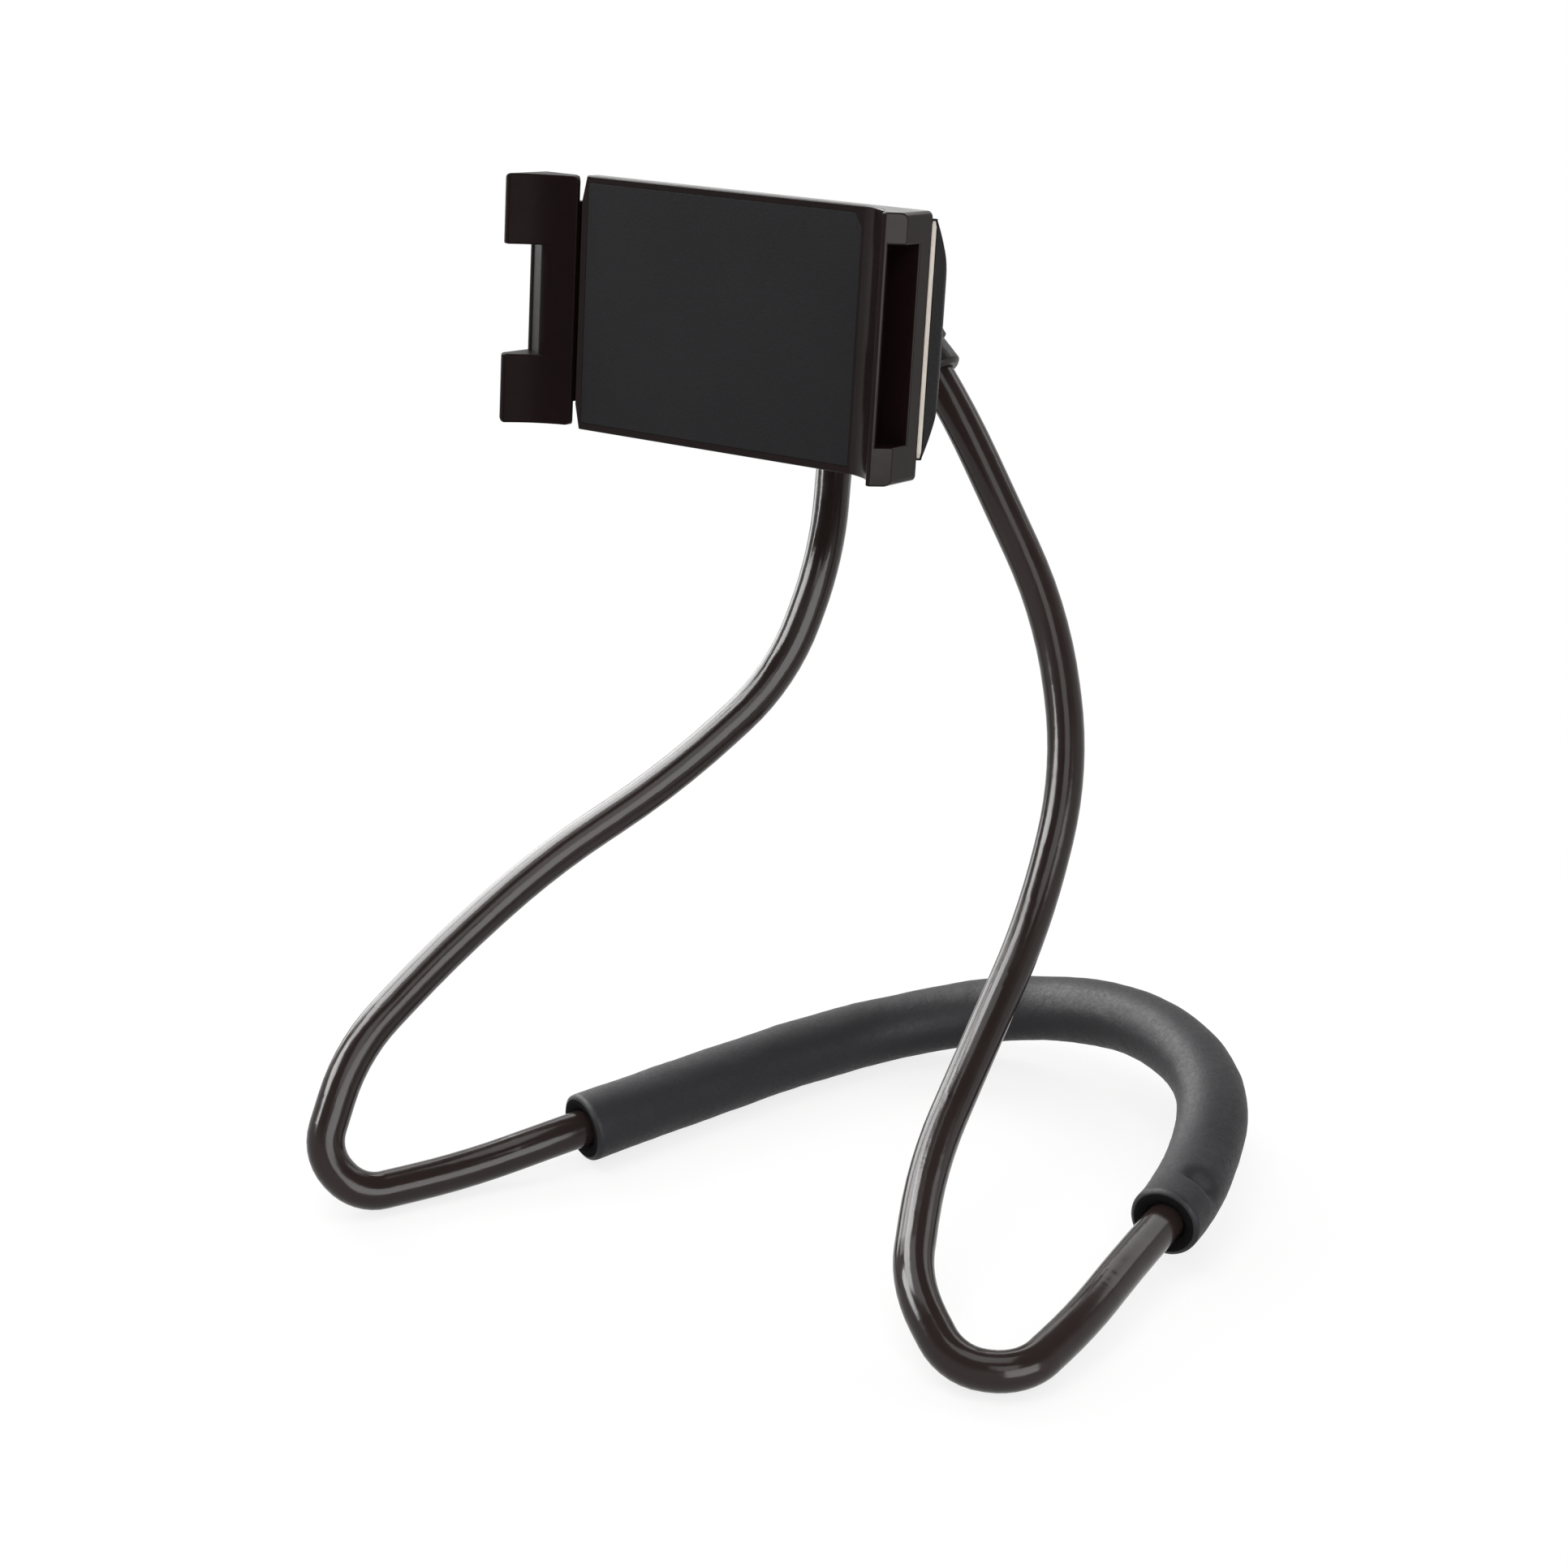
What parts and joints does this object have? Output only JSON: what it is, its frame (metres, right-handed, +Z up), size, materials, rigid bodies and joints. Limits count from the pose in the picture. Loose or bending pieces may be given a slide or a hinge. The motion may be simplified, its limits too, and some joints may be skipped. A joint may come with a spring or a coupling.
{
  "type": "neck phone holder",
  "caption": "Neck phone holder: a bendable covered wire with a foam neck loop and a ball-headed spring clamp that grips a phone by its long edges.",
  "frame": {"origin": "centre of the bounding box's bottom face, on the surface the holder stands on", "axes": "+Z up, -Y the way the clamp's face looks, +X to the right as seen from the front"},
  "size_m": [0.153, 0.1354, 0.1782],
  "materials": {
    "aluminium_core": "plain drawn wire, hidden",
    "pvc_sleeve": "glossy extruded sleeve",
    "neck_foam": "matte closed-cell foam",
    "rubber": "satin moulded rubber",
    "gloss_abs": "glossy moulded plastic",
    "black_abs": "satin moulded plastic",
    "pad": "matte pad",
    "steel": "bright zinc-plated"
  },
  "bodies": {
    "neck_wire": {"core_wire": "aluminium_core", "wire_sleeve": "pvc_sleeve", "neck_foam": "neck_foam", "left_collar": "rubber", "right_collar": "rubber", "yoke_front": "black_abs", "yoke_back": "black_abs", "yoke_screws": "steel"},
    "stud": {"ball_stud": "steel", "stud_washer": "steel", "stud_screw": "steel"},
    "clamp": {"front_shell": "gloss_abs", "face_pad": "pad", "rear_cover": "black_abs", "cover_screws": "steel", "spring_upper": "steel", "spring_lower": "steel"},
    "ring": {"ring_nut": "black_abs"},
    "jaw": {"moving_jaw": "gloss_abs"}
  },
  "joints": [
    {"name": "clamp_swivel", "type": "hinge", "parent": "neck_wire", "child": "stud", "pos_m": [-0.02651, 0.05681, 0.14993], "axis": [0, 0.9951, -0.0993], "continuous": true},
    {"name": "clamp_tilt", "type": "hinge", "parent": "stud", "child": "clamp", "pos_m": [-0.02651, 0.03691, 0.15192], "axis": [1, 0, 0], "range_deg": [-20, 20]},
    {"name": "ring_nut_turn", "type": "hinge", "parent": "clamp", "child": "ring", "pos_m": [-0.02651, 0.03293, 0.15231], "axis": [0, 0.9951, -0.0993], "range_deg": [0, 120]},
    {"name": "jaw_slide", "type": "slide", "parent": "clamp", "child": "jaw", "axis": [-1, 0, 0], "range_m": [0, 0.027], "stiffness_N_per_m": 250, "springref_m": -0.016, "deforming": ["spring_upper", "spring_lower"]}
  ]
}
